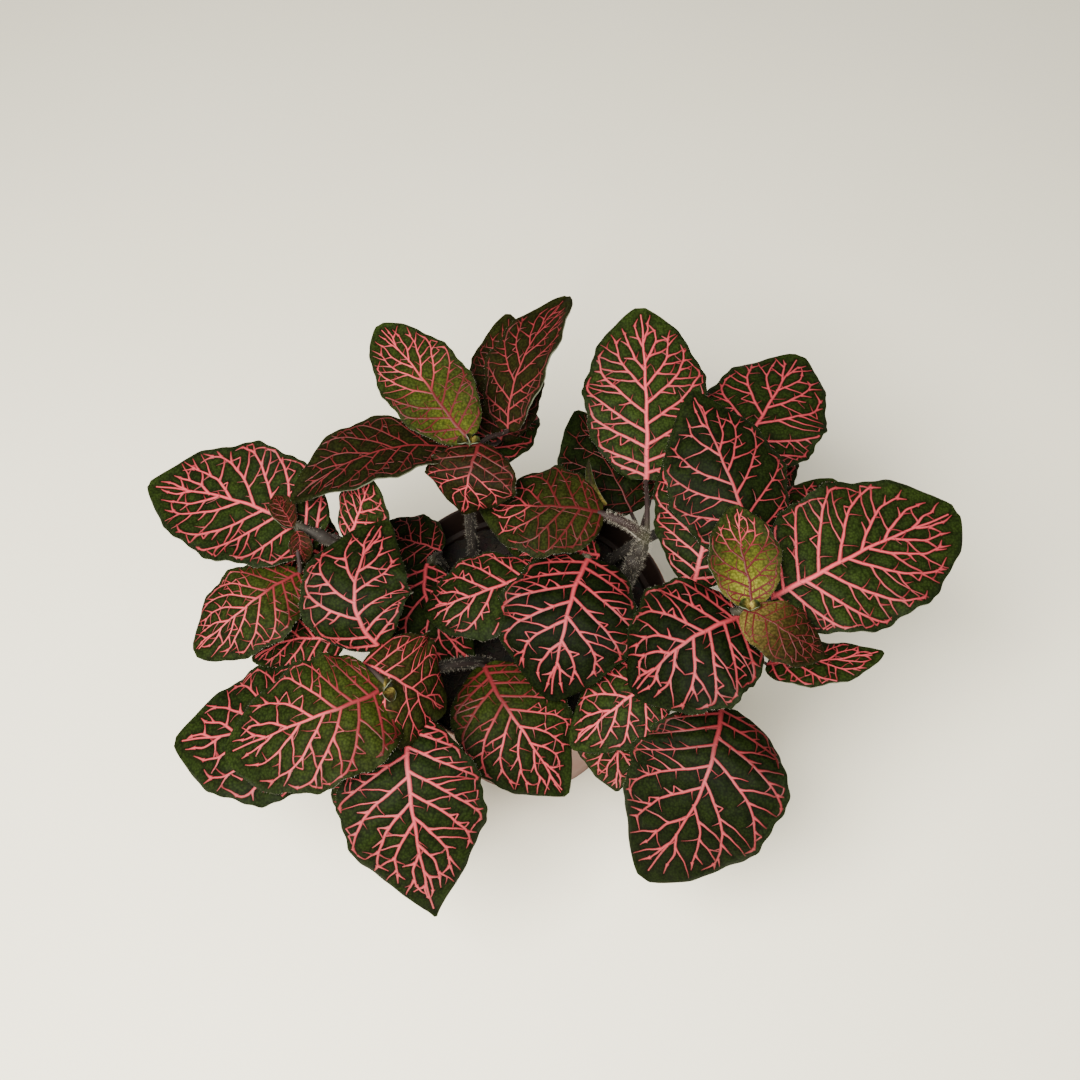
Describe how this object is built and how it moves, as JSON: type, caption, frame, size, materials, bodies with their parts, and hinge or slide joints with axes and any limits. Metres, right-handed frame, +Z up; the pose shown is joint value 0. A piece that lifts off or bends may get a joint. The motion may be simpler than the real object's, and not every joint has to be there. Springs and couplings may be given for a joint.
{
  "type": "potted nerve plant",
  "caption": "Red-veined nerve plant with broad dark green leaves in a tapered plastic nursery pot.",
  "frame": {"origin": "centre of the pot's flat underside", "axes": "+Z up along the pot's axis, +Y away from the side that the plant is seen from, +X to the right"},
  "size_m": [0.2802, 0.2079, 0.1448],
  "materials": {
    "pot_plastic": "satin",
    "peat_soil": "matt",
    "leaf": "satin"
  },
  "bodies": {
    "root": {"pot": "pot_plastic", "soil": "peat_soil", "stem_back_left": "leaf", "stem_back_middle": "leaf", "stem_back_right": "leaf", "stem_right": "leaf", "stem_front_right": "leaf", "stem_middle": "leaf", "stem_middle_left": "leaf", "stem_front_left": "leaf", "stem_left": "leaf"}
  },
  "joints": []
}
